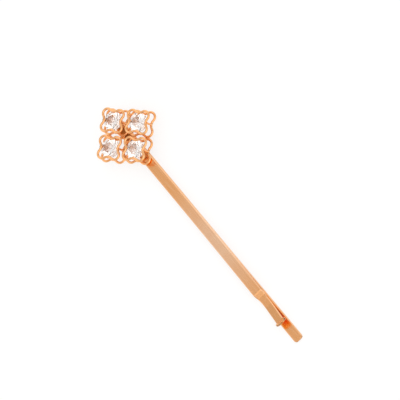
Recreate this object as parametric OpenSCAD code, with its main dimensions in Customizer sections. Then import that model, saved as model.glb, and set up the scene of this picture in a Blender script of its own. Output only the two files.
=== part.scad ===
// Hair clip: a folded flat-wire pin with a head of four lobed open settings, each with a round stone.
// Millimetres. X runs from the head to the tips, Z is up through the stones, Y is across the pin.
// The lower leg lies on Z = 0 and the origin is under the middle of the bounding box.

/* [Settings] */
// Distance between the middles of neighbouring settings
pitch = 5.5; // [5.4:0.05:5.8]
// Diameter of the rim and gallery wires
wire_d = 0.5; // [0.4:0.05:0.6]
// Bend radius of a gallery's lobe, on the wire's centreline
gallery_lobe_r = 1; // [0.9:0.05:1.1]
// Bend radius of a rim's lobe, on the wire's centreline
rim_lobe_r = 0.95; // [0.85:0.05:1.05]
// How far the rim stands inside the gallery on every side
rim_inset = 0.2; // [0.1:0.05:0.25]
// Height from the gallery wire to the rim wire, centre to centre
setting_h = 2.5; // [2.2:0.1:3.4]
// Diameter of the posts between the two wires
post_d = 0.45; // [0.4:0.05:0.5]
// Diameter of the wire ring that the stone sits on
seat_wire_d = 0.4; // [0.3:0.05:0.5]

/* [Stones] */
// Diameter of a stone at its girdle
stone_d = 3.9; // [3.6:0.05:3.95]
// Height of the girdle band
girdle_h = 0.12; // [0.05:0.01:0.2]
// Slope of the crown
crown_angle = 35; // [25:1:40]
// Slope of the pavilion
pavilion_angle = 41; // [38:1:44]
// Table diameter as a share of the stone's diameter
table_share = 0.57; // [0.5:0.01:0.65]

/* [Strip] */
// Width of the flattened wire
strip_w = 2.05; // [1.6:0.05:2.6]
// Thickness of the flattened wire
strip_t = 0.5; // [0.4:0.05:0.8]
// Clear height between the legs at the fold
bend_gap = 0.45; // [0.2:0.05:0.8]
// Clear height between the legs where they stand widest apart
spread_gap = 0.75; // [0.6:0.05:1.2]
// Clear height between the legs where they meet
pinch_gap = 0.02; // [0.01:0.01:0.1]
// From the middle of the head back to the outside of the fold
fold_reach = 5.8; // [5:0.1:6.5]
// Length of the level stretch of the upper leg, from the fold on
level_len = 20; // [14:0.5:22]
// Radius of the soft bend where the upper leg starts to rise
rise_r = 60; // [40:5:100]
// Length of the rising stretch
rise_len = 27.5; // [24:0.1:29]
// Bend radius where the step down starts
step_r = 0.5; // [0.45:0.05:0.7]
// Angle of the step down
step_angle = 40; // [35:1:50]
// Bend radius where the step meets the lower leg
landing_r = 0.5; // [0.45:0.05:0.7]
// Length of the stretch that meets the lower leg
pinch_len = 1.8; // [0.5:0.1:3]
// Bend radius where the tip starts to flare
flare_r = 3; // [1:0.5:5]
// Angle of the flare
flare_angle = 15; // [10:1:20]
// Length of the flare's straight
flare_len = 4.5; // [3.5:0.1:5.5]
// Bend radius of the turned-up lip
lip_r = 0.6; // [0.45:0.05:1]
// Angle of the lip
lip_angle = 47; // [35:1:60]
// Length of the lip's straight
lip_len = 0.7; // [0.5:0.05:1]
// Width of the upper leg at the top of the step
step_w = 2.15; // [2.05:0.05:2.3]
// Width of the flare, narrower than the strip
neck_w = 1.75; // [1.6:0.05:2.05]
// Width across the lip
tip_w = 2.5; // [2.3:0.05:2.6]
// Radius of the arc that the lip ends in
tip_arc_r = 1.35; // [1.35:0.05:2]
// From the middle of the head to the lower leg's tip
tail_reach = 56.3; // [50:0.1:62]
// Corner radius of the lower leg's end
tail_corner_r = 0.6; // [0.3:0.05:0.75]

/* [Solder bed] */
// Height of the solder bed between the upper leg and the galleries
bed_h = 0.15; // [0.1:0.05:0.3]
// Length of the solder bed
bed_len = 9.4; // [6:0.1:10]
// Width of the solder bed
bed_w = 1.3; // [1:0.1:1.6]

/* [Hidden] */
$fn = 96;
wire_r = wire_d / 2;
post_r = post_d / 2;
stone_r = stone_d / 2;
half_t = strip_t / 2;
quarter = 90;
half_turn = 180;
// Bends of the upper leg are drawn in flat facets of at most this angle
facet_angle = 6;

eighth = 45;

// Where a lobe's arc meets a notch's, the line between their middles has the slope of a 3-4-5 triangle
join_cos = 0.8;
join_sin = 0.6;
function lobe_middle(half, lobe_r) = half - wire_r - lobe_r;
function notch_radius(lobe_c, lobe_r) = lobe_c / join_sin - lobe_r;
function notch_middle(lobe_c) = lobe_c + lobe_c / join_sin * join_cos;
function notch_reach(lobe_c, lobe_r) = notch_middle(lobe_c) - notch_radius(lobe_c, lobe_r);
gallery_lobe_c = lobe_middle(pitch / 2, gallery_lobe_r);
rim_lobe_c = lobe_middle(pitch / 2 - rim_inset, rim_lobe_r);
gallery_notch_x = notch_reach(gallery_lobe_c, gallery_lobe_r);
rim_notch_x = notch_reach(rim_lobe_c, rim_lobe_r);
post_lean = atan((gallery_notch_x - rim_notch_x) / setting_h);

// Heights, from the lower leg's underside up
level_z = strip_t + bend_gap + half_t;
fold_r = bend_gap / 2 + half_t;
fold_z = strip_t + bend_gap / 2;
bed_z = strip_t + bend_gap + strip_t;
gallery_z = bed_z + bed_h + wire_r;
rim_z = gallery_z + setting_h;

// The stone's girdle lies so low that the crown passes just under the notches of the rim
fit_gap = 0.01;
notch_over = rim_notch_x - stone_r;
girdle_drop = (wire_r + fit_gap - notch_over * sin(crown_angle)) / cos(crown_angle);
girdle_top = rim_z - girdle_drop;
girdle_low = girdle_top - girdle_h;
table_r = stone_r * table_share;
crown_h = (stone_r - table_r) * tan(crown_angle);
pavilion_h = stone_r * tan(pavilion_angle);

// The seat ring touches the leaning posts and the pavilion, which gives its radius and height together
seat_r = seat_wire_d / 2;
seat_drop = (seat_r + fit_gap) / cos(pavilion_angle);
post_inside = gallery_notch_x - (post_r + seat_r + fit_gap) / cos(post_lean);
seat_low = girdle_low - gallery_z - seat_drop;
seat_ring_r = (post_inside - (seat_low - stone_r * tan(pavilion_angle)) * tan(post_lean))
  / (1 + tan(pavilion_angle) * tan(post_lean));
seat_z = gallery_z + seat_low - (stone_r - seat_ring_r) * tan(pavilion_angle);

// The upper leg rises to its widest gap, and the step's straight ends where the legs meet
rise_dz = spread_gap - bend_gap;
rise_angle = atan2(rise_r, rise_len) - asin((rise_r - rise_dz) / norm([rise_r, rise_len]));
step_dz = step_r * (cos(rise_angle) - cos(step_angle)) + landing_r * (1 - cos(step_angle));
step_len = (spread_gap - step_dz - pinch_gap) / sin(step_angle);

// Lengths along X, with the middle of the head at zero before the last shift
fold_x = -fold_reach + fold_r + half_t;
head_reach = (pitch + 2 * gallery_lobe_c) / sqrt(2) + gallery_lobe_r + wire_r;
shift_x = (head_reach - tail_reach) / 2;
diagonal = pitch / sqrt(2);
step_x = fold_x + level_len + rise_r * sin(rise_angle) + rise_len * cos(rise_angle);
pinch_x = step_x + step_r * (sin(rise_angle) + sin(step_angle))
  + step_len * cos(step_angle) + landing_r * sin(step_angle);

gold = [0.86, 0.6, 0.4];
solder = [0.8, 0.62, 0.45];
crystal = [0.93, 0.9, 0.9];

// The upper leg's route: [length, 0, 0] is a straight and [0, radius, angle] a bend, up over 0
ROUTE = [
  [level_len, 0, 0],
  [0, rise_r, rise_angle],
  [rise_len, 0, 0],
  [0, step_r, -rise_angle - step_angle],
  [step_len, 0, 0],
  [0, landing_r, step_angle],
  [pinch_len, 0, 0],
  [0, flare_r, flare_angle],
  [flare_len, 0, 0],
  [0, lip_r, lip_angle - flare_angle],
  [lip_len, 0, 0]
];

// Points [x, z, slope] at the end of each straight and along each bend, from stretch i on
function stations(i, x, z, a) =
  i == len(ROUTE) ? [] :
  let (
    s = ROUTE[i],
    turn = sign(s[2]),
    n = s[1] == 0 ? 1 : ceil(abs(s[2]) / facet_angle),
    ends = [for (k = [1:n])
      let (b = a + s[2] * k / n)
      [
        x + s[0] * cos(a) + turn * s[1] * (sin(b) - sin(a)),
        z + s[0] * sin(a) - turn * s[1] * (cos(b) - cos(a)),
        b
      ]
    ],
    last = ends[n - 1]
  )
  concat(ends, stations(i + 1, last[0], last[1], last[2]));

leg_line = concat([[fold_x, level_z, 0]], stations(0, fold_x, level_z, 0));
leg_count = len(leg_line);
leg_end = leg_line[leg_count - 1];

// The side view of the upper leg, half the thickness to both sides of its middle line
leg_top = [for (p = leg_line) [p[0] - half_t * sin(p[2]), p[1] + half_t * cos(p[2])]];
leg_low = [for (i = [leg_count - 1:-1:0])
  let (p = leg_line[i]) [p[0] + half_t * sin(p[2]), p[1] - half_t * cos(p[2])]
];

// The upper leg seen from above: wider up to the step, narrow over the flare, wide again at the lip
module leg_plan() {
  neck_x = pinch_x + pinch_len / 2;
  tip_x = leg_end[0] - lip_len * cos(lip_angle);
  lip_x = tip_x - lip_r * (sin(lip_angle) - sin(flare_angle));
  end_x = leg_end[0] + strip_t;
  edge = [
    [fold_x, strip_w / 2], [step_x, step_w / 2], [neck_x, neck_w / 2],
    [lip_x, neck_w / 2], [tip_x, tip_w / 2], [end_x, tip_w / 2]
  ];
  count = len(edge);
  polygon(concat(edge, [for (i = [count - 1:-1:0]) [edge[i][0], -edge[i][1]]]));
}

// The arc that the lip ends in, square to the lip
module tip_arc() {
  w = (tip_w / 2 + tip_arc_r) / 2;
  back_x = -tip_arc_r - tail_reach;
  translate([leg_end[0], 0, leg_end[1]]) rotate([0, -lip_angle, 0]) {
    translate([-tip_arc_r, 0, 0]) cylinder(h = 2 * tail_reach, r = tip_arc_r, center = true);
    translate([back_x, -w, -tail_reach]) cube([tail_reach, 2 * w, 2 * tail_reach]);
  }
}

// The lower leg seen from above, with rounded corners at its end
module tail_plan() {
  inset = strip_w / 2 - tail_corner_r;
  corner_x = tail_reach - tail_corner_r;
  translate([fold_x, -strip_w / 2]) square([corner_x - fold_x, strip_w]);
  translate([fold_x, -inset]) square([tail_reach - fold_x, 2 * inset]);
  translate([corner_x, inset]) circle(r = tail_corner_r);
  translate([corner_x, -inset]) circle(r = tail_corner_r);
}

module place_strip(z = 0) {
  translate([shift_x, 0, z]) children();
}

module lower_leg() color(gold) {
  place_strip() linear_extrude(height = strip_t) tail_plan();
}

// The fold turns half round between the legs' ends
module bend() color(gold) {
  place_strip(fold_z) translate([fold_x, 0, 0])
    rotate([quarter, 0, 0])
      rotate([0, 0, quarter])
        rotate_extrude(angle = half_turn)
          translate([fold_r, 0]) square([strip_t, strip_w], center = true);
}

module upper_leg() color(gold) {
  place_strip() intersection() {
    rotate([quarter, 0, 0]) linear_extrude(height = tip_w, center = true) polygon(concat(leg_top, leg_low));
    linear_extrude(height = rim_z) leg_plan();
    tip_arc();
  }
}

module solder_bed() color(solder) {
  r = bed_w / 2;
  place_strip(bed_z) linear_extrude(height = bed_h) {
    square([bed_len - bed_w, bed_w], center = true);
    translate([(bed_len - bed_w) / 2, 0]) circle(r = r);
    translate([(bed_w - bed_len) / 2, 0]) circle(r = r);
  }
}

// A ring of round wire, kept where the plan over it covers it
module wire_arc(r, plan) {
  intersection() {
    rotate_extrude() translate([r, 0]) circle(r = wire_r);
    translate([0, 0, -wire_d]) linear_extrude(height = 2 * wire_d) polygon(plan);
  }
}

// The drawn-in wire at one notch, with the notch on the X axis
module notch_arc(lobe_c, lobe_r) {
  reach = 2 * (notch_radius(lobe_c, lobe_r) + wire_d);
  translate([notch_middle(lobe_c), 0, 0]) wire_arc(notch_radius(lobe_c, lobe_r), [
    [0, 0], [-reach * join_cos, reach * join_sin], [-reach * join_cos, -reach * join_sin]
  ]);
}

// The wire round one lobe
module lobe_arc(lobe_c, lobe_r) {
  reach = 2 * (lobe_r + wire_d);
  translate([lobe_c, lobe_c, 0]) wire_arc(lobe_r, [
    [0, 0], [reach * join_cos, -reach * join_sin], [reach, reach], [-reach * join_sin, reach * join_cos]
  ]);
}

// The four-lobed wire loop
module quatrefoil(lobe_c, lobe_r) {
  for (a = [0, quarter, 2 * quarter, 3 * quarter]) {
    rotate([0, 0, a]) {
      lobe_arc(lobe_c, lobe_r);
      notch_arc(lobe_c, lobe_r);
    }
  }
}

// A setting stands on the head's diagonal and its notches face its neighbours
module place_setting(x, y) {
  translate([shift_x + x * diagonal, y * diagonal, 0]) rotate([0, 0, eighth]) children();
}

module gallery_wire() {
  translate([0, 0, gallery_z]) quatrefoil(gallery_lobe_c, gallery_lobe_r);
}

module rim_wire() {
  translate([0, 0, rim_z]) quatrefoil(rim_lobe_c, rim_lobe_r);
}

module seat_ring() {
  translate([0, 0, seat_z])
    rotate_extrude() translate([seat_ring_r, 0]) circle(r = seat_r);
}

// A round stone with its culet cut to a small flat, larger all round by grow
module round_stone(grow = 0) {
  culet_r = stone_r * 0.03;
  translate([0, 0, girdle_low]) rotate_extrude() polygon([
    [0, girdle_h + crown_h + grow],
    [table_r + grow, girdle_h + crown_h + grow],
    [stone_r + grow, girdle_h + grow],
    [stone_r + grow, -grow],
    [culet_r + grow, -pavilion_h * (1 - culet_r / stone_r) - grow],
    [0, -pavilion_h * (1 - culet_r / stone_r) - grow]
  ]);
}

// A post leans from notch i of the gallery to the rim's, and is cut for the wires and the stone's girdle
module post(i) {
  rotate([0, 0, i * quarter]) difference() {
    translate([gallery_notch_x, 0, gallery_z]) rotate([0, -post_lean, 0])
      cylinder(h = setting_h / cos(post_lean), r = post_r);
    translate([0, 0, gallery_z]) notch_arc(gallery_lobe_c, gallery_lobe_r);
    translate([0, 0, rim_z]) notch_arc(rim_lobe_c, rim_lobe_r);
    round_stone(fit_gap);
  }
}

module rear_gallery() color(gold) place_setting(-1, 0) gallery_wire();
module rear_rim() color(gold) place_setting(-1, 0) rim_wire();
module rear_seat() color(gold) place_setting(-1, 0) seat_ring();
module rear_stone() color(crystal) place_setting(-1, 0) round_stone();
module rear_post_1() color(gold) place_setting(-1, 0) post(0);
module rear_post_2() color(gold) place_setting(-1, 0) post(1);
module rear_post_3() color(gold) place_setting(-1, 0) post(2);
module rear_post_4() color(gold) place_setting(-1, 0) post(3);

module left_gallery() color(gold) place_setting(0, 1) gallery_wire();
module left_rim() color(gold) place_setting(0, 1) rim_wire();
module left_seat() color(gold) place_setting(0, 1) seat_ring();
module left_stone() color(crystal) place_setting(0, 1) round_stone();
module left_post_1() color(gold) place_setting(0, 1) post(0);
module left_post_2() color(gold) place_setting(0, 1) post(1);
module left_post_3() color(gold) place_setting(0, 1) post(2);
module left_post_4() color(gold) place_setting(0, 1) post(3);

module right_gallery() color(gold) place_setting(0, -1) gallery_wire();
module right_rim() color(gold) place_setting(0, -1) rim_wire();
module right_seat() color(gold) place_setting(0, -1) seat_ring();
module right_stone() color(crystal) place_setting(0, -1) round_stone();
module right_post_1() color(gold) place_setting(0, -1) post(0);
module right_post_2() color(gold) place_setting(0, -1) post(1);
module right_post_3() color(gold) place_setting(0, -1) post(2);
module right_post_4() color(gold) place_setting(0, -1) post(3);

module front_gallery() color(gold) place_setting(1, 0) gallery_wire();
module front_rim() color(gold) place_setting(1, 0) rim_wire();
module front_seat() color(gold) place_setting(1, 0) seat_ring();
module front_stone() color(crystal) place_setting(1, 0) round_stone();
module front_post_1() color(gold) place_setting(1, 0) post(0);
module front_post_2() color(gold) place_setting(1, 0) post(1);
module front_post_3() color(gold) place_setting(1, 0) post(2);
module front_post_4() color(gold) place_setting(1, 0) post(3);

lower_leg();
bend();
upper_leg();
solder_bed();
rear_gallery();
rear_rim();
rear_seat();
rear_stone();
rear_post_1();
rear_post_2();
rear_post_3();
rear_post_4();
left_gallery();
left_rim();
left_seat();
left_stone();
left_post_1();
left_post_2();
left_post_3();
left_post_4();
right_gallery();
right_rim();
right_seat();
right_stone();
right_post_1();
right_post_2();
right_post_3();
right_post_4();
front_gallery();
front_rim();
front_seat();
front_stone();
front_post_1();
front_post_2();
front_post_3();
front_post_4();
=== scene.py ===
"""Looks of the hair clip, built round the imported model: folded strip, wire settings and stones."""
import bisect
import math
import random

import bpy
from mathutils import Matrix, Vector


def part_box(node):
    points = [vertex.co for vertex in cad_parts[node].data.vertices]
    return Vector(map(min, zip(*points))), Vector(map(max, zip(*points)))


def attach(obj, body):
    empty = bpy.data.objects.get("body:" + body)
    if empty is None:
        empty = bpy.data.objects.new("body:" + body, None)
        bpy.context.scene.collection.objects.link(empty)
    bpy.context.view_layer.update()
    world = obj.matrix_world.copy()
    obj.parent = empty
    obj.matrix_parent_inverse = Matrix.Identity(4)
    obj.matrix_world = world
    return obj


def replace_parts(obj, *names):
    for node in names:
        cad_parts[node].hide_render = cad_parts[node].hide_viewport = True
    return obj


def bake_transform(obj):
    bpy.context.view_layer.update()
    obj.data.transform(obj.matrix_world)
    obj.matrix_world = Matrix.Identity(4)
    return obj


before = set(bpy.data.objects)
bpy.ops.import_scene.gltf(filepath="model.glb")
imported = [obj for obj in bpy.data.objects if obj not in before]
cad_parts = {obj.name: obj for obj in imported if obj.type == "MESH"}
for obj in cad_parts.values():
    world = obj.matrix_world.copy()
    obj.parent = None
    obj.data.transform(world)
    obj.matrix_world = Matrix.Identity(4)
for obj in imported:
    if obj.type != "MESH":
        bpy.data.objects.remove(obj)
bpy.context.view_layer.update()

MM = 0.001
SETTINGS = ("rear", "left", "right", "front")

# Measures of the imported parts. Unless a comment says otherwise, sizes are in millimetres
low_box = [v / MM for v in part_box("lower_leg")]
fold_box = [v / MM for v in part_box("bend")]
leg_box = [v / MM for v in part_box("upper_leg")]
bed_box = [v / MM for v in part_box("solder_bed")]
STRIP_W = low_box[1].y - low_box[0].y
STRIP_T = low_box[1].z
HALF_W = STRIP_W / 2
HALF_T = STRIP_T / 2
FOLD_X = low_box[0].x
TAIL_X = low_box[1].x
BEND_GAP = fold_box[1].z - 2 * STRIP_T
TIP_W = leg_box[1].y - leg_box[0].y

# The upper leg's bends, as the solid has them
LEVEL_LEN = 20
RISE_R = 60
RISE_LEN = 27.5
SPREAD_GAP = 0.75
PINCH_GAP = 0.02
STEP_R = 0.5
STEP_ANGLE = math.radians(40)
LANDING_R = 0.5
PINCH_LEN = 1.8
FLARE_R = 3
FLARE_ANGLE = math.radians(15)
FLARE_LEN = 4.5
LIP_R = 0.6
LIP_ANGLE = math.radians(47)
LIP_LEN = 0.7
STEP_W = 2.15
NECK_W = 1.75
TIP_ARC_R = 1.35
TAIL_CORNER_R = 0.6

# Where the upper leg's width starts to change: past its step, and before its lip
NECK_START = 0.3
LIP_START = 0.1

# The strip's finish: how round its edges and ends are, and how far its surface is from flat
EDGE_R = 0.2
END_ROUND = 0.1
RIPPLE = 0.004
BENT_RIPPLE_SHARE = 0.3
UPPER_PHASE = 0.7
LOWER_PHASE = 2.9

# How far apart the strip's sections lie, and how near its end they close up
ROUTE_SPACING = 0.35
UPPER_SPACING = 0.16
UPPER_REACH = 1.8
LOWER_SPACING = 0.25
LOWER_REACH = 1.2

# The upper leg is not quite straight: it bends to the side by DRIFT from DRIFT_START to its tip
DRIFT = -0.22
DRIFT_START = -9.4

# The wire loops: the radius of their lobes, and the slope at which lobes and notches join
LOBE_R = {"gallery": 1.0, "rim": 0.95}
JOIN_COS = 0.8
JOIN_SIN = 0.6
NOTCH_POINTS = 14
LOBE_POINTS = 26
SEAT_POINTS = 96
WIRE_SIDES = 20

# How uneven the hand-bent wire is: outwards and upwards in millimetres, and in thickness as a share
LOOP_OUT = 0.05
LOOP_LIFT = 0.03
LOOP_THICK = 0.06
SEAT_OUT = 0.01

# The posts. Solder swells them by a share from their ends, and the swelling fades inwards
POST_R = 0.225
POST_POINTS = 44
SWELL = 0.4
SWELL_START = 0.15
SWELL_FADE = 0.16
STONE_CLEAR = 0.02

# A dark patch at a joint: on which notch, its size, its strength, and what shows of it from behind
DARKENED_NOTCH = {"gallery": 1, "rim": 3}
DARK_PATCH_SIZE = (0.22, 0.3)
DARK_PATCH_STRENGTH = (0.8, 1.0)
DARK_PATCH_GAIN = 1.5
DARK_PATCH_BEHIND = 0.3
# The solder bed's front end is darkened too: painted shade where the strip leaves the head
BED_SHADE_SIZE = 0.9
BED_SHADE_STRENGTH = 0.9

# Solder: how hollow its grooves are, and the edge of the bed
ROOT_RANGE = (0.1, 0.18)
BED_EDGE = 0.16
BED_UNEVEN = 0.05
BED_SINK = 0.01

# The stones' cut, the rubbed edges of their facets, and the foil behind them
CROWN_ANGLE = math.radians(35)
PAVILION_ANGLE = math.radians(41)
TABLE_SHARE = 0.57
GIRDLE_H = 0.12
STAR_SHARE = 0.4
LOWER_SHARE = 0.24
FACET_EDGE = 0.008
FOIL_INNER = 0.006
FOIL_OUTER = 0.022

# The head was soldered on by hand: a little aside and turned, and each setting is turned some more
HEAD_SHIFT = Vector((-0.2, 0.12, 0))
HEAD_TURN = math.radians(-2.0)
SETTING_TURNS = {"rear": -3.4, "left": -3.0, "right": -2.6, "front": -2.2}
CRYSTAL_TURNS = {"rear": 0.2, "left": 0.55, "right": 0.05, "front": 0.4}
CRYSTAL_TILTS = {"rear": 0.02, "left": -0.015, "right": 0.01, "front": -0.02}


def loop_size(node):
    """Middle and wire radius of a wire loop, in millimetres."""
    lo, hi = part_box(node)
    return (lo + hi) / (2 * MM), (hi.z - lo.z) / (2 * MM)


# Tones of the plating: new, rubbed pale and deep
WIRE_TONE = (0.95, 0.5, 0.22)
WIRE_PALE = (0.96, 0.58, 0.32)
WIRE_DEEP = (0.94, 0.45, 0.17)
STRIP_TONE = (0.9, 0.58, 0.37)
STRIP_PALE = (0.92, 0.63, 0.43)
STRIP_DEEP = (0.89, 0.54, 0.33)
# The strip's deeper tone away from its paler middle, which is painted sheen
STRIP_BEYOND_SHEEN = (0.86, 0.43, 0.18)
# The solder bed's darker tone: painted shade in the hollow under the galleries
MOUND_SHADED_TONE = (0.65, 0.27, 0.06)
# A painted reflection tone: plating seen in other plating is painted this deeper orange
REFLECTED_PLATING_TONE = (0.95, 0.45, 0.07)
# A dark tone for patches at a notch and, as painted shade, at the solder bed's front end
DARK_PATCH_TONE = (0.1, 0.05, 0.03)

# Painted sheen along the strip: the place where it is palest, and how far from there the sheen starts
# and stops fading
SHEEN_AT = 5
SHEEN_NEAR = 3
SHEEN_FAR = 15

# How wear and the dark patches show on plating: as shares of the paler tone, and as roughness
POLISH_PALE = 0.5
WORN_PALE = 0.45
MARK_PALE = 0.25
WORN_ROUGH = 0.06
MARK_ROUGH = 0.12
DARK_PATCH_ROUGH = 0.25

# Tones of the glass and the foil
GLASS_PINK = (1.0, 0.972, 0.965)
GLASS_CLEAR = (1.0, 0.985, 0.98)
GLASS_IOR = 1.56
FOIL_WARM = (1.0, 0.9, 0.85)
FOIL_PALE = (1.0, 0.97, 0.95)
FOIL_SPECK = (0.95, 0.68, 0.52)


# Materials


def node_maker(tree):
    """A function that adds a node to tree. in_NAME=value sets an input, other names set properties."""
    def make(kind, **values):
        node = tree.nodes.new(kind)
        for key, value in values.items():
            if key.startswith("in_"):
                name = key[3:].replace("_", " ")
                node.inputs[int(name) if name.isdigit() else name].default_value = value
            else:
                setattr(node, key, value)
        return node

    return make


def new_material(name):
    """A material with a Principled shader, its node tree, the tree's node maker and the shader."""
    mat = bpy.data.materials.new(name)
    mat.use_nodes = True
    tree = mat.node_tree
    tree.nodes.clear()
    make = node_maker(tree)
    out = make("ShaderNodeOutputMaterial")
    shader = make("ShaderNodeBsdfPrincipled")
    tree.links.new(shader.outputs[0], out.inputs["Surface"])
    return mat, tree, make, shader


def stretched_coords(tree, make, scale, turn=0.0):
    """Object coordinates in millimetres, times scale on each axis, turned about Z."""
    coords = make("ShaderNodeTexCoord")
    mapping = make("ShaderNodeMapping")
    mapping.inputs["Scale"].default_value = [s / MM for s in scale]
    mapping.inputs["Rotation"].default_value = (0, 0, turn)
    tree.links.new(coords.outputs["Object"], mapping.inputs["Vector"])
    return mapping.outputs["Vector"]


def ranged(tree, make, value, low, high, to_low, to_high):
    """value mapped from low and high to to_low and to_high, and held between them."""
    node = make("ShaderNodeMapRange", clamp=True)
    tree.links.new(value, node.inputs["Value"])
    for name, v in (("From Min", low), ("From Max", high), ("To Min", to_low), ("To Max", to_high)):
        node.inputs[name].default_value = v
    return node.outputs["Result"]


def mixed(tree, make, factor, a, b):
    """A colour between a and b. Each is a colour or a socket."""
    node = make("ShaderNodeMix", data_type="RGBA")
    for socket, value in ((node.inputs[0], factor), (node.inputs[6], a), (node.inputs[7], b)):
        if isinstance(value, bpy.types.NodeSocket):
            tree.links.new(value, socket)
        elif isinstance(value, (int, float)):
            socket.default_value = value
        else:
            socket.default_value = (*value, 1)
    return node.outputs[2]


def combined(tree, make, operation, a, b=0.0):
    """The result of a math node. a and b are numbers or sockets."""
    node = make("ShaderNodeMath", operation=operation)
    for socket, value in zip(node.inputs, (a, b)):
        if isinstance(value, bpy.types.NodeSocket):
            tree.links.new(value, socket)
        else:
            socket.default_value = value
    return node.outputs[0]


def noise_at(tree, make, vector, scale, detail=2.0, rough=0.5):
    """Soft noise about 0.5."""
    node = make("ShaderNodeTexNoise")
    tree.links.new(vector, node.inputs["Vector"])
    node.inputs["Scale"].default_value = scale
    node.inputs["Detail"].default_value = detail
    node.inputs["Roughness"].default_value = rough
    return node.outputs["Fac"]


def scratches(tree, make, vector, scale, width):
    """Thin lines: 1 on a scratch and 0 off it."""
    node = make("ShaderNodeTexVoronoi", feature="DISTANCE_TO_EDGE")
    tree.links.new(vector, node.inputs["Vector"])
    node.inputs["Scale"].default_value = scale
    return ranged(tree, make, node.outputs["Distance"], 0.0, width, 1.0, 0.0)


def added(tree, make, value, *extras):
    """value with each (mask, amount) of extras added to it."""
    for mask, amount in extras:
        value = combined(tree, make, "ADD", value, combined(tree, make, "MULTIPLY", mask, amount))
    return value


def raise_surface(tree, make, shader, height, strength, distance):
    """Gives the shader a bump map, whose distance is in millimetres."""
    bump = make("ShaderNodeBump")
    bump.inputs["Strength"].default_value = strength
    bump.inputs["Distance"].default_value = distance * MM
    tree.links.new(height, bump.inputs["Height"])
    tree.links.new(bump.outputs["Normal"], shader.inputs["Normal"])


def plated_metal(name, tone, pale, deep, roughness, grain, beyond_sheen=None):
    """Polished rose-gold plating. grain stretches its polishing lines along X.

    Plating seen in plating is painted a deeper orange, a painted reflection, and it is dark where a
    dark patch is painted on. The last argument is a strip's deeper tone away from its paler, painted
    sheen.
    """
    mat, tree, make, shader = new_material(name)
    cloudy = stretched_coords(tree, make, (0.5, 0.5, 0.5))
    lines = stretched_coords(tree, make, grain, turn=0.03)
    cross = stretched_coords(tree, make, (grain[0] * 3, grain[1] * 0.6, grain[2]), turn=0.5)
    fine = stretched_coords(tree, make, (1, 1, 1))

    clouds = noise_at(tree, make, cloudy, 0.9, detail=4)
    polish = noise_at(tree, make, lines, 1.0, detail=3, rough=0.6)
    specks = noise_at(tree, make, fine, 16.0, detail=2)
    hairlines = scratches(tree, make, lines, 0.5, 0.018)
    nicks = scratches(tree, make, cross, 0.35, 0.012)
    marks = combined(tree, make, "MAXIMUM", hairlines, nicks)

    wear = make("ShaderNodeAttribute", attribute_name="wear").outputs["Fac"]
    patchy = ranged(tree, make, specks, 0.42, 0.62, 0.25, 1.0)
    worn = combined(tree, make, "MULTIPLY", wear, patchy)

    base = mixed(tree, make, ranged(tree, make, clouds, 0.35, 0.65, 0, 1), deep, tone)
    # Painted sheen: the strip is painted paler about one place along X and deeper orange away from it
    if beyond_sheen:
        place = make("ShaderNodeSeparateXYZ")
        tree.links.new(fine, place.inputs[0])
        away = combined(tree, make, "SUBTRACT", place.outputs["X"], SHEEN_AT)
        away = combined(tree, make, "ABSOLUTE", away)
        base = mixed(tree, make, ranged(tree, make, away, SHEEN_NEAR, SHEEN_FAR, 0, 1), base, beyond_sheen)
    base = mixed(tree, make, ranged(tree, make, polish, 0.55, 0.8, 0, POLISH_PALE), base, pale)
    base = mixed(tree, make, combined(tree, make, "MULTIPLY", worn, WORN_PALE), base, pale)
    base = mixed(tree, make, combined(tree, make, "MULTIPLY", marks, MARK_PALE), base, pale)
    # Painted reflection: plating seen in a reflection off plating is painted a deeper orange
    rays = make("ShaderNodeLightPath")
    outside = combined(tree, make, "LESS_THAN", rays.outputs["Transmission Depth"], 0.5)
    reflected_plating = combined(tree, make, "MULTIPLY", rays.outputs["Is Glossy Ray"], outside)
    base = mixed(tree, make, reflected_plating, base, REFLECTED_PLATING_TONE)
    # Dark patches: painted at one notch of each loop, and painted shade at the solder bed's front end
    dark = make("ShaderNodeAttribute", attribute_name="dark_patch").outputs["Fac"]
    base = mixed(tree, make, dark, base, DARK_PATCH_TONE)
    tree.links.new(base, shader.inputs["Base Color"])

    rough = ranged(tree, make, polish, 0.3, 0.75, roughness * 0.75, roughness * 1.35)
    extras = ((dark, DARK_PATCH_ROUGH), (marks, MARK_ROUGH), (worn, WORN_ROUGH))
    tree.links.new(added(tree, make, rough, *extras), shader.inputs["Roughness"])

    height = combined(tree, make, "MULTIPLY", polish, 0.6)
    height = added(tree, make, height, (specks, 0.2), (marks, -0.5))
    raise_surface(tree, make, shader, height, 0.35, 0.0015)
    shader.inputs["Metallic"].default_value = 1.0
    return mat


def crystal_glass(name):
    """Clear glass with a breath of pink, faint wipe marks and rubbed facet edges."""
    mat, tree, make, shader = new_material(name)
    fine = stretched_coords(tree, make, (1, 1, 1))
    wipes = noise_at(tree, make, stretched_coords(tree, make, (1.5, 4, 4), turn=0.7), 1.0, detail=3)
    dust = noise_at(tree, make, fine, 9.0, detail=3)
    wear = make("ShaderNodeAttribute", attribute_name="wear").outputs["Fac"]
    tint = mixed(tree, make, ranged(tree, make, wipes, 0.3, 0.7, 0, 1), GLASS_PINK, GLASS_CLEAR)
    tree.links.new(tint, shader.inputs["Base Color"])
    rough = ranged(tree, make, dust, 0.5, 0.75, 0.0, 0.035)
    tree.links.new(added(tree, make, rough, (wear, 0.05)), shader.inputs["Roughness"])
    raise_surface(tree, make, shader, wipes, 0.1, 0.001)
    shader.inputs["Transmission Weight"].default_value = 1.0
    shader.inputs["IOR"].default_value = GLASS_IOR
    return mat


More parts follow.
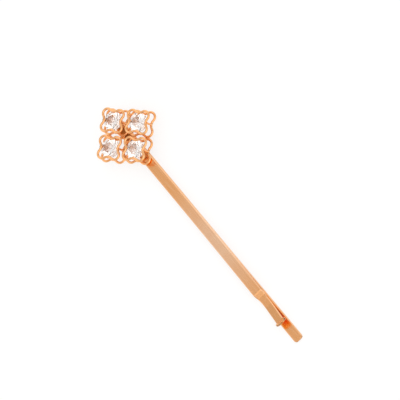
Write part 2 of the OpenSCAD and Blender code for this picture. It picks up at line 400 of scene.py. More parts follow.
def foil_metal(name):
    """The bright foil behind a stone: silver with a warm cast, a little crinkled."""
    mat, tree, make, shader = new_material(name)
    fine = stretched_coords(tree, make, (1, 1, 1))
    crinkle = noise_at(tree, make, fine, 2.6, detail=4, rough=0.6)
    specks = noise_at(tree, make, fine, 11.0, detail=2)
    patches = ranged(tree, make, crinkle, 0.35, 0.65, 0, 1)
    base = mixed(tree, make, patches, FOIL_WARM, FOIL_PALE)
    base = mixed(tree, make, ranged(tree, make, specks, 0.6, 0.75, 0, 0.4), base, FOIL_SPECK)
    tree.links.new(base, shader.inputs["Base Color"])
    tree.links.new(ranged(tree, make, specks, 0.3, 0.7, 0.25, 0.5), shader.inputs["Roughness"])
    raise_surface(tree, make, shader, crinkle, 0.5, 0.004)
    shader.inputs["Metallic"].default_value = 1.0
    return mat


strip_tones = (STRIP_TONE, STRIP_PALE, STRIP_DEEP)
wire_tones = (WIRE_TONE, WIRE_PALE, WIRE_DEEP)
# The solder bed is painted darker all over, as painted shade under the four settings
shaded_mound_tones = (MOUND_SHADED_TONE, WIRE_TONE, MOUND_SHADED_TONE)
strip_metal = plated_metal("strip_plating", *strip_tones, 0.2, (0.12, 3.0, 3.0), STRIP_BEYOND_SHEEN)
wire_metal = plated_metal("wire_plating", *wire_tones, 0.12, (0.8, 0.8, 0.8))
solder_metal = plated_metal("solder_plating", *wire_tones, 0.24, (1.2, 1.2, 1.2))
shaded_mound_metal = plated_metal("shaded_mound_plating", *shaded_mound_tones, 0.35, (1.2, 1.2, 1.2))
glass = crystal_glass("crystal")
foil = foil_metal("foil")


# Mesh building


def finish_piece(name, verts, faces, mat, wear=None, smooth=True):
    """Makes an object from points in millimetres. wear is a value from 0 to 1 for each point."""
    mesh = bpy.data.meshes.new(name)
    mesh.from_pydata([(x * MM, y * MM, z * MM) for x, y, z in verts], [], faces)
    mesh.validate()
    mesh.polygons.foreach_set("use_smooth", [smooth] * len(mesh.polygons))
    if wear is not None:
        attribute = mesh.attributes.new("wear", "FLOAT", "POINT")
        attribute.data.foreach_set("value", wear)
    mesh.materials.append(mat)
    obj = bpy.data.objects.new(name, mesh)
    bpy.context.scene.collection.objects.link(obj)
    return obj


def wave_sum(rng, counts, size):
    """A smooth closed ripple: a function of an angle, about size high."""
    parts = [(n, rng.uniform(0.4, 1.0) * size / n, rng.uniform(0, 2 * math.pi)) for n in counts]
    return lambda a: sum(h * math.sin(n * a + p) for n, h, p in parts)


# The strip is swept from a flat section with rounded edges


def band_ring(half_w, half_t, edge_r, flat_count=14, arc_count=7):
    """The upper half of a strip's section from -Y to +Y, as points (across, up), and their wear.

    The first and the last point lie at mid-thickness.
    """
    r = min(edge_r, half_t, half_w)
    side = half_t - r
    arc = [math.pi / 2 * i / arc_count for i in range(arc_count + 1)]
    left = [(-half_w + r - r * math.cos(a), side + r * math.sin(a)) for a in arc]
    flat = [-half_w + r + (2 * half_w - 2 * r) * i / flat_count for i in range(1, flat_count)]
    points = [(-half_w, 0)] + left + [(y, half_t) for y in flat]
    points += [(-y, z) for y, z in reversed(left)] + [(half_w, 0)]
    worn = [math.exp(-((abs(y) - half_w + 0.3 * r) / (0.8 * r)) ** 2) for y, _ in points]
    return points, worn


def sweep_band(name, path, lefts, half_width, drop=None, reach=1.0, drift=None):
    """A strip whose sections lie at the distances lefts from its end, the farthest first.

    path(left) gives the middle line's x, z and slope, half_width(left) half the width there, and
    drift(x) the shift across. The end may be curved: drop(share) is how far back it lies at a share
    of the half width, and the sections within reach of the end follow it more and more.
    """
    verts, wear, rings = [], [], []
    for left in lefts:
        inset = rounded_end(left) if drop else 0
        half_w = half_width(left)
        upper, worn = band_ring(half_w - inset, HALF_T - inset, EDGE_R)
        ring_points = upper + [(y, -up) for y, up in reversed(upper[1:-1])]
        pull = max(0.0, 1 - left / reach) ** 1.5
        first = len(verts)
        for y, up in ring_points:
            back = left + (pull * drop(min(1.0, abs(y) / half_w)) if drop else 0)
            x, z, slope = path(back)
            side = y * half_width(back) / half_w + (drift(x) if drift else 0)
            verts.append((x - up * math.sin(slope), side, z + up * math.cos(slope)))
        wear += worn + worn[-2:0:-1]
        rings.append(list(range(first, len(verts))))
    faces = []
    for a, b in zip(rings, rings[1:]):
        n = len(a)
        faces += [(a[i], a[(i + 1) % n], b[(i + 1) % n], b[i]) for i in range(n)]
    # Both ends are closed by faces that join the upper half of the section to the lower one
    half = len(rings[0]) // 2
    for ring, flip in ((rings[0], True), (rings[-1], False)):
        n = len(ring)
        for i in range(half):
            face = [ring[i], ring[i + 1], ring[(n - i - 1) % n], ring[(n - i) % n]]
            face = list(dict.fromkeys(face))
            faces.append(tuple(face if flip else reversed(face)))
    return finish_piece(name, verts, faces, strip_metal, wear)


def ripple_z(x, phase):
    """The strip's slight unevenness, in millimetres."""
    return RIPPLE * (math.sin(0.9 * x + phase) + 0.6 * math.sin(2.3 * x + 2.1 * phase)) / 1.6


def route():
    """The upper leg's middle line as (x, z, slope), as the solid has it."""
    rise_dz = SPREAD_GAP - BEND_GAP
    rise = math.atan2(RISE_R, RISE_LEN) - math.asin((RISE_R - rise_dz) / math.hypot(RISE_R, RISE_LEN))
    step_dz = STEP_R * (math.cos(rise) - math.cos(STEP_ANGLE)) + LANDING_R * (1 - math.cos(STEP_ANGLE))
    step_len = (SPREAD_GAP - step_dz - PINCH_GAP) / math.sin(STEP_ANGLE)
    legs = [
        (LEVEL_LEN, 0, 0),
        (0, RISE_R, rise),
        (RISE_LEN, 0, 0),
        (0, STEP_R, -rise - STEP_ANGLE),
        (step_len, 0, 0),
        (0, LANDING_R, STEP_ANGLE),
        (PINCH_LEN, 0, 0),
        (0, FLARE_R, FLARE_ANGLE),
        (FLARE_LEN, 0, 0),
        (0, LIP_R, LIP_ANGLE - FLARE_ANGLE),
        (LIP_LEN, 0, 0),
    ]
    x, z, slope = FOLD_X, 1.5 * STRIP_T + BEND_GAP, 0.0
    points = [(x, z, slope)]
    for length, radius, angle in legs:
        if radius == 0:
            count = max(1, math.ceil(length / ROUTE_SPACING))
            for i in range(count):
                s = length * (i + 1) / count
                points.append((x + s * math.cos(slope), z + s * math.sin(slope), slope))
        else:
            count = max(4, math.ceil(abs(math.degrees(angle)) / 3))
            side = math.copysign(1, angle)
            for i in range(1, count + 1):
                b = slope + angle * i / count
                points.append((
                    x + side * radius * (math.sin(b) - math.sin(slope)),
                    z - side * radius * (math.cos(b) - math.cos(slope)),
                    b,
                ))
        x, z, slope = points[-1][0], points[-1][1], slope + angle
    return points


def path_from_end(points):
    """The line through points of (x, z, slope) by the distance from its end, and its length."""
    lengths = [0.0]
    for a, b in zip(points, points[1:]):
        lengths.append(lengths[-1] + math.hypot(b[0] - a[0], b[1] - a[1]))
    total = lengths[-1]

    def at(left):
        s = min(total, max(0.0, total - left))
        i = min(len(points) - 2, bisect.bisect_right(lengths, s) - 1)
        t = (s - lengths[i]) / (lengths[i + 1] - lengths[i])
        return tuple(a + (b - a) * t for a, b in zip(points[i], points[i + 1]))

    return at, total


def rounded_end(left):
    """How much the section is drawn in within END_ROUND of the end."""
    if left >= END_ROUND:
        return 0.0
    s = 1 - left / END_ROUND
    return END_ROUND * (1 - math.sqrt(max(0.0, 1 - s * s)))


def spaced_lefts(total, step, reach):
    """Distances from the end: step apart, closer within reach of it and closest at its rounding."""
    count = math.ceil(total / step)
    lefts = [total - (total - reach) * i / count for i in range(count)]
    lefts += [reach - (reach - END_ROUND) * i / 16 for i in range(16)]
    return lefts + [END_ROUND * (1 - math.sin(math.pi / 2 * i / 6)) for i in range(7)]


def eased(value, start, end):
    """0 before start, 1 after end and a smooth rise between them."""
    t = max(0.0, min(1.0, (value - start) / (end - start)))
    return t * t * (3 - 2 * t)


def upper_strip():
    """The upper leg: wider up to the step, narrow over the flare and wide again at the lip."""
    line = route()
    uneven = []
    for x, z, slope in line:
        share = 1 if slope == 0 else BENT_RIPPLE_SHARE
        uneven.append((x, z + ripple_z(x, UPPER_PHASE) * share, slope))
    path, total = path_from_end(uneven)
    half_tip = TIP_W / 2
    step_x = next(x for x, z, slope in line if slope < -0.01)
    flare_x = next(x for x, z, slope in line if x > step_x and slope > 0.001)
    neck_x = flare_x - PINCH_LEN / 2
    tip_x = line[-1][0] - LIP_LEN * math.cos(LIP_ANGLE)
    lip_x = tip_x - LIP_R * (math.sin(LIP_ANGLE) - math.sin(FLARE_ANGLE))

    def half_width(left):
        x = path(left)[0]
        wide = HALF_W + (STEP_W / 2 - HALF_W) * max(0.0, min(1.0, (x - FOLD_X) / (step_x - FOLD_X)))
        narrow = wide + (NECK_W / 2 - wide) * eased(x, step_x + NECK_START, neck_x)
        return narrow + (half_tip - narrow) * eased(x, lip_x - LIP_START, tip_x)

    def drop(share):
        return TIP_ARC_R - math.sqrt(TIP_ARC_R ** 2 - (share * half_tip) ** 2)

    def drift(x):
        return DRIFT * max(0.0, (x - DRIFT_START) / (line[-1][0] - DRIFT_START)) ** 2

    lefts = spaced_lefts(total, UPPER_SPACING, UPPER_REACH)
    return sweep_band("upper_strip", path, lefts, half_width, drop, UPPER_REACH, drift)


def lower_strip():
    """The lower leg: flat and straight, with rounded corners at its end."""
    count = 240
    xs = [FOLD_X + (TAIL_X - FOLD_X) * i / count for i in range(count + 1)]
    path, total = path_from_end([(x, HALF_T + ripple_z(x, LOWER_PHASE) * 0.5, 0.0) for x in xs])
    inner = HALF_W - TAIL_CORNER_R
    corner_end = TAIL_CORNER_R * 0.995

    def drop(share):
        over = max(0.0, min(share * HALF_W - inner, corner_end))
        return TAIL_CORNER_R - math.sqrt(TAIL_CORNER_R ** 2 - over ** 2)

    lefts = spaced_lefts(total, LOWER_SPACING, LOWER_REACH)
    return sweep_band("lower_strip", path, lefts, lambda left: HALF_W, drop, LOWER_REACH)


def spring_fold():
    """The half turn that joins the legs."""
    radius = (STRIP_T + BEND_GAP) / 2
    middle = STRIP_T + BEND_GAP / 2

    def path(left):
        a = math.pi - left / radius
        return FOLD_X - radius * math.sin(a), middle - radius * math.cos(a), math.pi - a

    lefts = [math.pi * radius * (1 - i / 36) for i in range(37)]
    return sweep_band("spring_fold", path, lefts, lambda left: HALF_W)


# Round wire


def tube(name, centres, radii, mat, closed=True, up=Vector((0, 0, 1))):
    """A wire along centres, in millimetres, with a radius for each."""
    n = len(centres)
    verts, wear = [], []
    for i, p in enumerate(centres):
        before = centres[(i - 1) % n] if closed or i else p
        after = centres[(i + 1) % n] if closed or i < n - 1 else p
        along = (after - before).normalized()
        side = along.cross(up).normalized()
        top = side.cross(along)
        for k in range(WIRE_SIDES):
            a = 2 * math.pi * k / WIRE_SIDES
            verts.append(p + (side * math.cos(a) + top * math.sin(a)) * radii[i])
            wear.append(max(0.0, math.sin(a)) ** 3)
    faces = []
    for i in range(n if closed else n - 1):
        a, b = i * WIRE_SIDES, ((i + 1) % n) * WIRE_SIDES
        for k in range(WIRE_SIDES):
            m = (k + 1) % WIRE_SIDES
            faces.append((a + k, a + m, b + m, b + k))
    if not closed:
        faces.append(tuple(range(WIRE_SIDES)))
        faces.append(tuple(reversed(range((n - 1) * WIRE_SIDES, n * WIRE_SIDES))))
    return finish_piece(name, verts, faces, mat, wear)


def quatrefoil(lobe_c, lobe_r):
    """Points of the four-lobed loop about its middle, with its notches at 45 degrees to the axes."""
    join = lobe_c / JOIN_SIN
    notch_c = lobe_c + join * JOIN_COS
    slope = math.degrees(math.atan2(JOIN_SIN, JOIN_COS))
    points = []
    for turn in range(4):
        start = math.radians(45 + 90 * turn)
        arc = []
        for i in range(NOTCH_POINTS):
            arc.append((notch_c, 0, join - lobe_r, 180 + slope - 2 * slope * i / NOTCH_POINTS))
        for i in range(LOBE_POINTS):
            arc.append((lobe_c, lobe_c, lobe_r, -slope + (90 + 2 * slope) * i / LOBE_POINTS))
        for cx, cy, r, degrees in arc:
            a = math.radians(degrees)
            p = Vector((cx + r * math.cos(a), cy + r * math.sin(a), 0))
            points.append(Matrix.Rotation(start, 3, "Z") @ p)
    return points


def lobe_middle(setting, level):
    """How far the middle of a lobe's bend stands from the loop's axes."""
    lo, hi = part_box(f"{setting}_{level}")
    wire_r = (hi.z - lo.z) / (2 * MM)
    return ((hi.x - lo.x) / (2 * MM) - wire_r - LOBE_R[level]) / math.sqrt(2)


def notch_direction(number):
    """The way from a setting's middle to its notch of that number, from 1 to 4."""
    a = math.radians(90 * number - 45)
    return Vector((math.cos(a), math.sin(a), 0))


def notch_point(setting, level, number):
    """The middle of the wire at a notch."""
    lobe_c = lobe_middle(setting, level)
    reach = lobe_c + LOBE_R[level] - lobe_c * (1 - JOIN_COS) / JOIN_SIN
    return loop_size(f"{setting}_{level}")[0] + notch_direction(number) * reach


def dark_patch(obj, at, outward, size, strength):
    """Darkens the plating about a point, mostly on the side that faces outward."""
    values = []
    for v in obj.data.vertices:
        p = v.co / MM - at
        near = min(1.0, DARK_PATCH_GAIN * math.exp(-(p.length / size) ** 2))
        values.append(strength * near * (1 if p.dot(outward) > -0.1 else DARK_PATCH_BEHIND))
    attribute = obj.data.attributes.new("dark_patch", "FLOAT", "POINT")
    attribute.data.foreach_set("value", values)


def wire_loop(setting, level, rng):
    """One lobed loop of a setting, uneven as hand-bent wire is, with a dark joint at one notch."""
    node = f"{setting}_{level}"
    middle, wire_r = loop_size(node)
    out = wave_sum(rng, (2, 3, 5, 7), LOOP_OUT)
    lift = wave_sum(rng, (2, 3, 4), LOOP_LIFT)
    thick = wave_sum(rng, (5, 9, 13), LOOP_THICK)
    centres, radii = [], []
    for p in quatrefoil(lobe_middle(setting, level), LOBE_R[level]):
        a = math.atan2(p.y, p.x)
        centres.append(middle + p * (1 + out(a) / p.length) + Vector((0, 0, lift(a))))
        radii.append(wire_r * (1 + thick(a)))
    obj = tube(f"{node}_wire", centres, radii, wire_metal)
    number = DARKENED_NOTCH[level]
    outward = notch_direction(number)
    surface = outward * wire_r * 0.9 + Vector((0, 0, wire_r * 0.4))
    at = notch_point(setting, level, number) + surface
    dark_patch(obj, at, outward, rng.uniform(*DARK_PATCH_SIZE), rng.uniform(*DARK_PATCH_STRENGTH))
    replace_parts(obj, node)
    return obj


def seat_loop(setting, rng):
    """The plain ring that a stone sits in."""
    node = f"{setting}_seat"
    middle, wire_r = loop_size(node)
    lo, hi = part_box(node)
    ring_r = (hi.x - lo.x) / (2 * MM) - wire_r
    out = wave_sum(rng, (2, 3), SEAT_OUT)
    angles = [2 * math.pi * i / SEAT_POINTS for i in range(SEAT_POINTS)]
    centres = [middle + Vector((math.cos(a), math.sin(a), 0)) * (ring_r + out(a)) for a in angles]
    obj = tube(f"{node}_wire", centres, [wire_r] * len(centres), wire_metal)
    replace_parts(obj, node)
    return obj


def prong(setting, number):
    """A post between the two loops, swollen with solder at both ends and cut to clear the stone."""
    node = f"{setting}_post_{number}"
    foot = notch_point(setting, "gallery", number)
    head = notch_point(setting, "rim", number)
    stone_lo, stone_hi = (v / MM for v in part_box(f"{setting}_stone"))
    axis = (stone_lo + stone_hi) / 2
    stone_r = (stone_hi.x - stone_lo.x) / 2
    girdle = stone_hi.z - (stone_r - stone_r * TABLE_SHARE) * math.tan(CROWN_ANGLE)
    centres, radii = [], []
    for i in range(POST_POINTS + 1):
        p = foot.lerp(head, i / POST_POINTS)
        inwards = max(0.0, min(p.z - foot.z, head.z - p.z) - SWELL_START)
        swell = SWELL * math.exp(-inwards / SWELL_FADE)
        centres.append(p)
        radii.append(POST_R * (1 + swell + 0.02 * math.sin(9 * p.z + number)))
    across = Vector((0, 1, 0))
    obj = tube(f"{node}_wire", centres, radii, wire_metal, closed=False, up=across)
    for v in obj.data.vertices:
        p = v.co / MM
        flat = Vector((p.x - axis.x, p.y - axis.y))
        above = p.z - girdle
        below = girdle - GIRDLE_H - p.z
        limit = stone_r + STONE_CLEAR
        if above > 0:
            limit -= above / math.tan(CROWN_ANGLE)
        elif below > 0:
            limit -= below / math.tan(PAVILION_ANGLE)
        if 0 < flat.length < limit:
            flat = flat.normalized() * limit
            v.co = Vector((axis.x + flat.x, axis.y + flat.y, p.z)) * MM
    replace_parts(obj, node)
    return obj


# Solder


def fillet(across, along, at, wire_r, lobe_r, root, verts, faces):
    """Solder in the groove between two lobes that touch at a point. root is its sides' radius."""
    arc_count, step_count = 8, 14
    end_share = 0.985
    reach = math.sqrt(2 * wire_r * root + wire_r ** 2) - wire_r
    length = math.sqrt(max(0.01, lobe_r ** 2 - (lobe_r - reach) ** 2))
    start = len(verts)
    for i in range(step_count + 1):
        s = length * (2 * i / step_count - 1) * end_share
        half = wire_r + lobe_r - math.sqrt(lobe_r ** 2 - s * s)
        height = math.sqrt(max(0.0, (wire_r + root) ** 2 - half ** 2))
        limit = math.asin(min(1.0, half / (wire_r + root)))
        upper = []
        for k in range(arc_count + 1):
            a = -limit + 2 * limit * k / arc_count
            upper.append((root * math.sin(a), height - root * math.cos(a)))
        ring = upper + [(y, -z) for y, z in reversed(upper)]
        for y, z in ring:
            p = at + across * y + along * s + Vector((0, 0, z))
            verts.append(tuple(p))
    n = 2 * (arc_count + 1)
    for i in range(step_count):
        a, b = start + i * n, start + (i + 1) * n
        faces += [(a + k, a + (k + 1) % n, b + (k + 1) % n, b + k) for k in range(n)]
    faces.append(tuple(start + k for k in reversed(range(n))))
    faces.append(tuple(start + step_count * n + k for k in range(n)))


def gallery_solder(rng):
    """The joints between the galleries, at the two places where each pair of neighbours touches."""
    middles = {s: loop_size(f"{s}_gallery")[0] for s in SETTINGS}
    wire_r = loop_size("front_gallery")[1]
    lobe_c = lobe_middle("front", "gallery")
    verts, faces = [], []
    for a, b in (("rear", "left"), ("rear", "right"), ("front", "left"), ("front", "right")):
        across = (middles[b] - middles[a]).normalized()
        along = Vector((-across.y, across.x, 0))
        for side in (-1, 1):
            at = (middles[a] + middles[b]) / 2 + along * lobe_c * side
            root = rng.uniform(*ROOT_RANGE)
            fillet(across, along, at, wire_r, LOBE_R["gallery"], root, verts, faces)
    return finish_piece("gallery_solder", verts, faces, solder_metal, [0.2] * len(verts))


def solder_mound(rng):
    """The bed under the galleries: a long low cushion with soft edges."""
    lo, hi = bed_box
    half_len, half_w = (hi.x - lo.x) / 2, (hi.y - lo.y) / 2
    middle_x = (lo.x + hi.x) / 2
    edge = wave_sum(rng, (3, 5, 8, 11), BED_UNEVEN)
    around, layers = 120, 6
    verts, faces = [], []
    for j in range(layers + 1):
        t = j / layers
        inset = BED_EDGE * (1 - math.cos(t * math.pi / 2))
        z = lo.z - BED_SINK + (hi.z - lo.z + BED_SINK) * math.sin(t * math.pi / 2)
        for i in range(around):
            a = 2 * math.pi * i / around
            cx = (half_len - half_w) * (1 if math.cos(a) > 0 else -1)
            w = half_w - inset + edge(a) * (1 - t)
            verts.append((middle_x + cx + w * math.cos(a), w * math.sin(a), z))
    for j in range(layers):
        a, b = j * around, (j + 1) * around
        for i in range(around):
            k = (i + 1) % around
            faces.append((a + i, a + k, b + k, b + i))
    faces.append(tuple(reversed(range(around))))
    faces.append(tuple(range(layers * around, (layers + 1) * around)))
    obj = finish_piece("solder_mound", verts, faces, shaded_mound_metal, [0.1] * len(verts))
    # Painted shade: the bed's front end is painted dark, where the strip leaves the head
    front_end = Vector((hi.x - 0.3, 0, hi.z))
    outward = Vector((1, 0, 0.5)).normalized()
    dark_patch(obj, front_end, outward, BED_SHADE_SIZE, BED_SHADE_STRENGTH)
    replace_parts(obj, "solder_bed")
    return obj


# Stones


def ring_point(radius, step, z):
    """A point at step sixteenths of a turn."""
    a = math.pi / 8 * step
    return Vector((radius * math.cos(a), radius * math.sin(a), z))


def on_plane(a, b, c, x, y):
    """Height of the plane through a, b and c at x and y."""
    n = (b - a).cross(c - a)
    return a.z - (n.x * (x - a.x) + n.y * (y - a.y)) / n.z


def crystal_shape(radius, table_z, culet_z):
    """Points and faces of a round brilliant of 57 facets, about the Z axis."""
    girdle_z = table_z - radius * (1 - TABLE_SHARE) * math.tan(CROWN_ANGLE)
    low_z = girdle_z - GIRDLE_H
    table_r = radius * TABLE_SHARE
    star_x = table_r + (radius - table_r) * STAR_SHARE
    star_r = star_x / math.cos(math.pi / 8)
    star_z = table_z - (star_x - table_r) * math.tan(CROWN_ANGLE)
    lower_x = radius * LOWER_SHARE
    lower_r = lower_x / math.cos(math.pi / 8)
    lower_z = low_z - (radius - lower_x) * math.tan(PAVILION_ANGLE)
    verts = []

    def add(p):
        verts.append(p)
        return len(verts) - 1

    table = [add(ring_point(table_r, 2 * k, table_z)) for k in range(8)]
    star = [add(ring_point(star_r, 2 * k + 1, star_z)) for k in range(8)]
    top, low = {}, {}
    for k in range(16):
        top[2 * k] = add(ring_point(radius, k, girdle_z))
        low[2 * k] = add(ring_point(radius, k, low_z))
    lower = [add(ring_point(lower_r, 2 * k + 1, lower_z)) for k in range(8)]
    culet = add(Vector((0, 0, culet_z)))
    for k in range(16):
        p = ring_point(radius, k + 0.5, 0)
        apex_up, apex_low = verts[star[k // 2]], verts[lower[k // 2]]
        a, b = verts[top[2 * k]], verts[top[(2 * k + 2) % 32]]
        top[2 * k + 1] = add(Vector((p.x, p.y, on_plane(apex_up, a, b, p.x, p.y))))
        a, b = verts[low[2 * k]], verts[low[(2 * k + 2) % 32]]
        low[2 * k + 1] = add(Vector((p.x, p.y, on_plane(apex_low, a, b, p.x, p.y))))
    crown = [tuple(table)]
    pavilion = []
    for k in range(8):
        n = (k + 1) % 8
        crown.append((table[k], star[k], table[n]))
        crown.append((table[k], star[k - 1], top[4 * k], star[k]))
        crown.append((star[k], top[4 * k], top[4 * k + 1], top[4 * k + 2]))
        crown.append((star[k], top[4 * k + 2], top[4 * k + 3], top[(4 * k + 4) % 32]))
        pavilion.append((culet, lower[k], low[4 * k], lower[k - 1]))
        pavilion.append((lower[k], low[4 * k + 2], low[4 * k + 1], low[4 * k]))
        pavilion.append((lower[k], low[(4 * k + 4) % 32], low[4 * k + 3], low[4 * k + 2]))
    girdle = [(top[k], low[k], low[(k + 1) % 32], top[(k + 1) % 32]) for k in range(32)]
    return verts, crown, girdle, pavilion


def crystal(setting):
    """A setting's stone and the foil behind it."""
    node = f"{setting}_stone"
    lo, hi = (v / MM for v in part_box(node))
    radius = (hi.x - lo.x) / 2
    middle = (lo + hi) / 2
    verts, crown, girdle, pavilion = crystal_shape(radius, hi.z, lo.z)
    pivot = Vector((0, 0, middle.z))
    turn = Matrix.Rotation(CRYSTAL_TURNS[setting], 3, "Z")
    spin = Matrix.Rotation(CRYSTAL_TILTS[setting], 3, "X") @ turn
    place = Vector((middle.x, middle.y, 0))
    verts = [spin @ (v - pivot) + pivot + place for v in verts]
    facets = crown + girdle + pavilion
    obj = finish_piece(f"{setting}_crystal", verts, facets, glass, smooth=False)
    bevel = obj.modifiers.new("facet_edges", "BEVEL")
    bevel.width = FACET_EDGE * MM
    bevel.segments = 1
    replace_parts(obj, node)
    return obj, foil_cup(setting, verts, pavilion, place)


def foil_cup(setting, verts, pavilion, axis):
    """A thin cup that follows the pavilion of a stone a little way off."""
    used = sorted({i for f in pavilion for i in f})
    number = {i: k for k, i in enumerate(used)}
    down = Vector((0, 0, -1))
    inner, outer = [], []
    for i in used:
        p = verts[i]
        side = Vector((p.x - axis.x, p.y - axis.y, 0))
        side = side.normalized() if side.length > 0.01 else Vector((0, 0, 0))
        away = down * math.cos(PAVILION_ANGLE) + side * math.sin(PAVILION_ANGLE)
        inner.append(p + away * FOIL_INNER)
        outer.append(p + away * FOIL_OUTER)
    n = len(used)
    shell = [tuple(number[i] for i in reversed(f)) for f in pavilion]
    faces = shell + [tuple(k + n for k in reversed(f)) for f in shell]
    edges = dict.fromkeys(edge for f in shell for edge in zip(f, f[1:] + f[:1]))
    faces += [(b, a, a + n, b + n) for a, b in edges if (b, a) not in edges]
    return finish_piece(f"{setting}_foil", inner + outer, faces, foil, smooth=False)


# Everything in place


def head_place():
    """The shift and turn of the head as a whole, about its own middle."""
    middle = (loop_size("rear_rim")[0] + loop_size("front_rim")[0]) / 2
    turn = Matrix.Rotation(HEAD_TURN, 4, "Z")
    return Matrix.Translation((middle + HEAD_SHIFT) * MM) @ turn @ Matrix.Translation(-middle * MM)


def setting_place(setting):
    """The head's place with the setting's own turn before it."""
    middle = loop_size(f"{setting}_rim")[0] * MM
    turn = Matrix.Rotation(math.radians(SETTING_TURNS[setting]), 4, "Z")
    return head_place() @ Matrix.Translation(middle) @ turn @ Matrix.Translation(-middle)


def put(obj, place):
    """Moves a piece of the head to its place and lets it ride on the upper leg."""
    obj.data.transform(place)
    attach(obj, "upper")


rng = random.Random(7)
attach(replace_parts(lower_strip(), "lower_leg"), "lower")
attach(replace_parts(upper_strip(), "upper_leg"), "upper")
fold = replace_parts(spring_fold(), "bend")
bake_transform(fold)
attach(solder_mound(rng), "upper")
for setting in SETTINGS:
    pieces = [wire_loop(setting, level, rng) for level in ("gallery", "rim")]
    pieces.append(seat_loop(setting, rng))
    pieces += [prong(setting, number) for number in range(1, 5)]
    pieces += crystal(setting)
    for piece in pieces:
        put(piece, setting_place(setting))
put(gallery_solder(rng), head_place())


# The stage: a white table, soft daylight and the camera

# The photograph's frame: its side in pixels, pixels to a millimetre, and the pixel at which the
# middle of the head's footprint shows
PHOTO_SIZE = 400
PHOTO_SCALE = 4.993
HEAD_AT = (132.3, 139.35)

# The camera: the way to it from the clip, the picture's right, its distance and its sensor's width
VIEW_FROM = Vector((0.38194, 0.1936, 0.90368))
VIEW_RIGHT = Vector((0.593325, 0.698618, -0.400438))
CAMERA_FAR = 2000
SENSOR = 36

# The table, in metres: half its side, its height, its paper's tone, and how much it glows by itself
TABLE_HALF = 1.5
TABLE_Z = -0.00003
PAPER = (0.9, 0.9, 0.9, 1)
GLOW = 1.08
GLOW_SHARE = 0.7

# The room's tones, from the horizon at 0 to straight up at 1
ROOM_STOPS = (
    (0.0, (0.9, 0.9, 0.9)),
    (0.3, (0.9, 0.89, 0.88)),
    (0.55, (1.0, 0.98, 0.96)),
    (0.78, (0.95, 0.93, 0.9)),
    (0.88, (0.84, 0.81, 0.79)),
    (1.0, (0.78, 0.76, 0.74)),
)

# Windows by turns with walls, which fade out between two heights, and a bright wall where the
# photograph was taken from: the cosine at its edge, and how much brighter its middle is
WINDOW_COUNT = 3
WINDOW_PHASE = 0.6
WINDOW_CONTRAST = 0.3
WINDOW_TOP = (0.55, 0.88)
FRONT_EDGE = 0.86
FRONT_LIGHT = 0.9

# The key light, in metres and watts
KEY_TARGET = Vector((-0.015, 0, 0))
KEY_FROM = Vector((-0.55, 0.5, 0.8))
KEY_DISTANCE = 0.9
KEY_SIZE = 0.7
KEY_POWER = 0.35


def make_camera():
    """A far camera that sees the clip from where the photograph was taken."""
    back = VIEW_FROM.normalized()
    right = (VIEW_RIGHT - back * VIEW_RIGHT.dot(back)).normalized()
    up = back.cross(right)
    head = (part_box("rear_rim")[0].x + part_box("front_rim")[1].x) / 2 / MM
    across = (PHOTO_SIZE / 2 - HEAD_AT[0]) / PHOTO_SCALE
    down = (PHOTO_SIZE / 2 - HEAD_AT[1]) / PHOTO_SCALE
    place = Vector((head, 0, 0)) + right * across - up * down + back * CAMERA_FAR
    data = bpy.data.cameras.new("camera")
    data.sensor_width = SENSOR
    data.lens = SENSOR * CAMERA_FAR * PHOTO_SCALE / PHOTO_SIZE
    data.clip_start = 0.1
    data.clip_end = 10
    obj = bpy.data.objects.new("camera", data)
    turn = Matrix((right, up, back)).transposed().to_4x4()
    obj.matrix_world = Matrix.Translation(place * MM) @ turn
    bpy.context.scene.collection.objects.link(obj)
    bpy.context.scene.camera = obj


def make_floor():
    """A white table that shows white to the camera, holds a soft shadow and is clear from below."""
    mesh = bpy.data.meshes.new("table")
    signs = ((-1, -1), (1, -1), (1, 1), (-1, 1))
    corners = [(x * TABLE_HALF, y * TABLE_HALF, TABLE_Z) for x, y in signs]
    mesh.from_pydata(corners, [], [(0, 1, 2, 3)])
    obj = bpy.data.objects.new("table", mesh)
    bpy.context.scene.collection.objects.link(obj)
    mat = bpy.data.materials.new("table_white")
    mat.use_nodes = True
    tree = mat.node_tree
    tree.nodes.clear()
    make = node_maker(tree)
    out = make("ShaderNodeOutputMaterial")
    paper = make("ShaderNodeBsdfDiffuse", in_Color=PAPER)
    glow = make("ShaderNodeEmission", in_Color=(1, 1, 1, 1), in_Strength=GLOW)
    rays = make("ShaderNodeLightPath")
    seen = rays.outputs["Is Camera Ray"]
    for kind in ("Is Glossy Ray", "Is Transmission Ray"):
        seen = combined(tree, make, "MAXIMUM", seen, rays.outputs[kind])
    share = combined(tree, make, "MULTIPLY", seen, GLOW_SHARE)
    mix = make("ShaderNodeMixShader")
    tree.links.new(share, mix.inputs[0])
    tree.links.new(paper.outputs[0], mix.inputs[1])
    tree.links.new(glow.outputs[0], mix.inputs[2])
    clear = make("ShaderNodeBsdfTransparent")
    below = make("ShaderNodeMixShader")
    facing = make("ShaderNodeNewGeometry")
    tree.links.new(facing.outputs["Backfacing"], below.inputs[0])
    tree.links.new(mix.outputs[0], below.inputs[1])
    tree.links.new(clear.outputs[0], below.inputs[2])
    tree.links.new(below.outputs[0], out.inputs["Surface"])
    mesh.materials.append(mat)


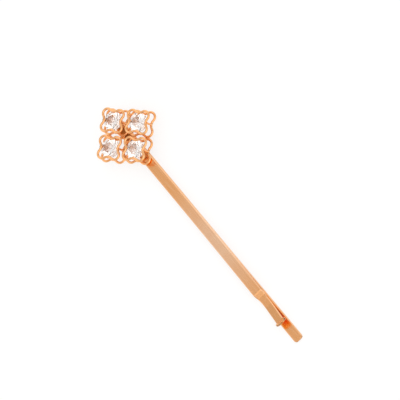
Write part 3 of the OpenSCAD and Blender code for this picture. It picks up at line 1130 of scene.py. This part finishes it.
def make_world():
    """A pale room: greyer overhead, with brighter windows and darker walls by turns round it."""
    world = bpy.data.worlds.new("room")
    bpy.context.scene.world = world
    world.use_nodes = True
    tree = world.node_tree
    tree.nodes.clear()
    make = node_maker(tree)
    out = make("ShaderNodeOutputWorld")
    room = make("ShaderNodeBackground")
    white = make("ShaderNodeBackground", in_Color=(1, 1, 1, 1), in_Strength=1.0)
    coords = make("ShaderNodeTexCoord")
    split = make("ShaderNodeSeparateXYZ")
    tree.links.new(coords.outputs["Generated"], split.inputs[0])
    ramp = make("ShaderNodeValToRGB")
    for place, tone in ROOM_STOPS[1:-1]:
        ramp.color_ramp.elements.new(place)
    for element, (place, tone) in zip(ramp.color_ramp.elements, ROOM_STOPS):
        element.color = (*tone, 1)
    tree.links.new(split.outputs["Z"], ramp.inputs["Fac"])
    tree.links.new(ramp.outputs["Color"], room.inputs["Color"])

    bearing = combined(tree, make, "ARCTAN2", split.outputs["Y"], split.outputs["X"])
    waves = combined(tree, make, "MULTIPLY", bearing, WINDOW_COUNT)
    waves = combined(tree, make, "SINE", combined(tree, make, "ADD", waves, WINDOW_PHASE))
    low = ranged(tree, make, split.outputs["Z"], *WINDOW_TOP, WINDOW_CONTRAST, 0)
    strength = combined(tree, make, "ADD", combined(tree, make, "MULTIPLY", waves, low), 1)
    toward = make("ShaderNodeVectorMath", operation="DOT_PRODUCT")
    tree.links.new(coords.outputs["Generated"], toward.inputs[0])
    toward.inputs[1].default_value = VIEW_FROM
    front = ranged(tree, make, toward.outputs["Value"], FRONT_EDGE, 1, 0, FRONT_LIGHT)
    strength = combined(tree, make, "ADD", strength, front)
    tree.links.new(strength, room.inputs["Strength"])

    rays = make("ShaderNodeLightPath")
    mix = make("ShaderNodeMixShader")
    tree.links.new(rays.outputs["Is Camera Ray"], mix.inputs[0])
    tree.links.new(room.outputs[0], mix.inputs[1])
    tree.links.new(white.outputs[0], mix.inputs[2])
    tree.links.new(mix.outputs[0], out.inputs["Surface"])


def make_key():
    """A round softbox above and behind the head, on its left."""
    data = bpy.data.lights.new("key", "AREA")
    data.shape = "DISK"
    data.size = KEY_SIZE
    data.energy = KEY_POWER
    obj = bpy.data.objects.new("key", data)
    back = KEY_FROM.normalized()
    obj.location = KEY_TARGET + back * KEY_DISTANCE
    obj.rotation_mode = "QUATERNION"
    obj.rotation_quaternion = back.to_track_quat("Z", "Y")
    bpy.context.scene.collection.objects.link(obj)


make_camera()
make_floor()
make_world()
make_key()
bpy.context.scene.view_settings.view_transform = "Standard"
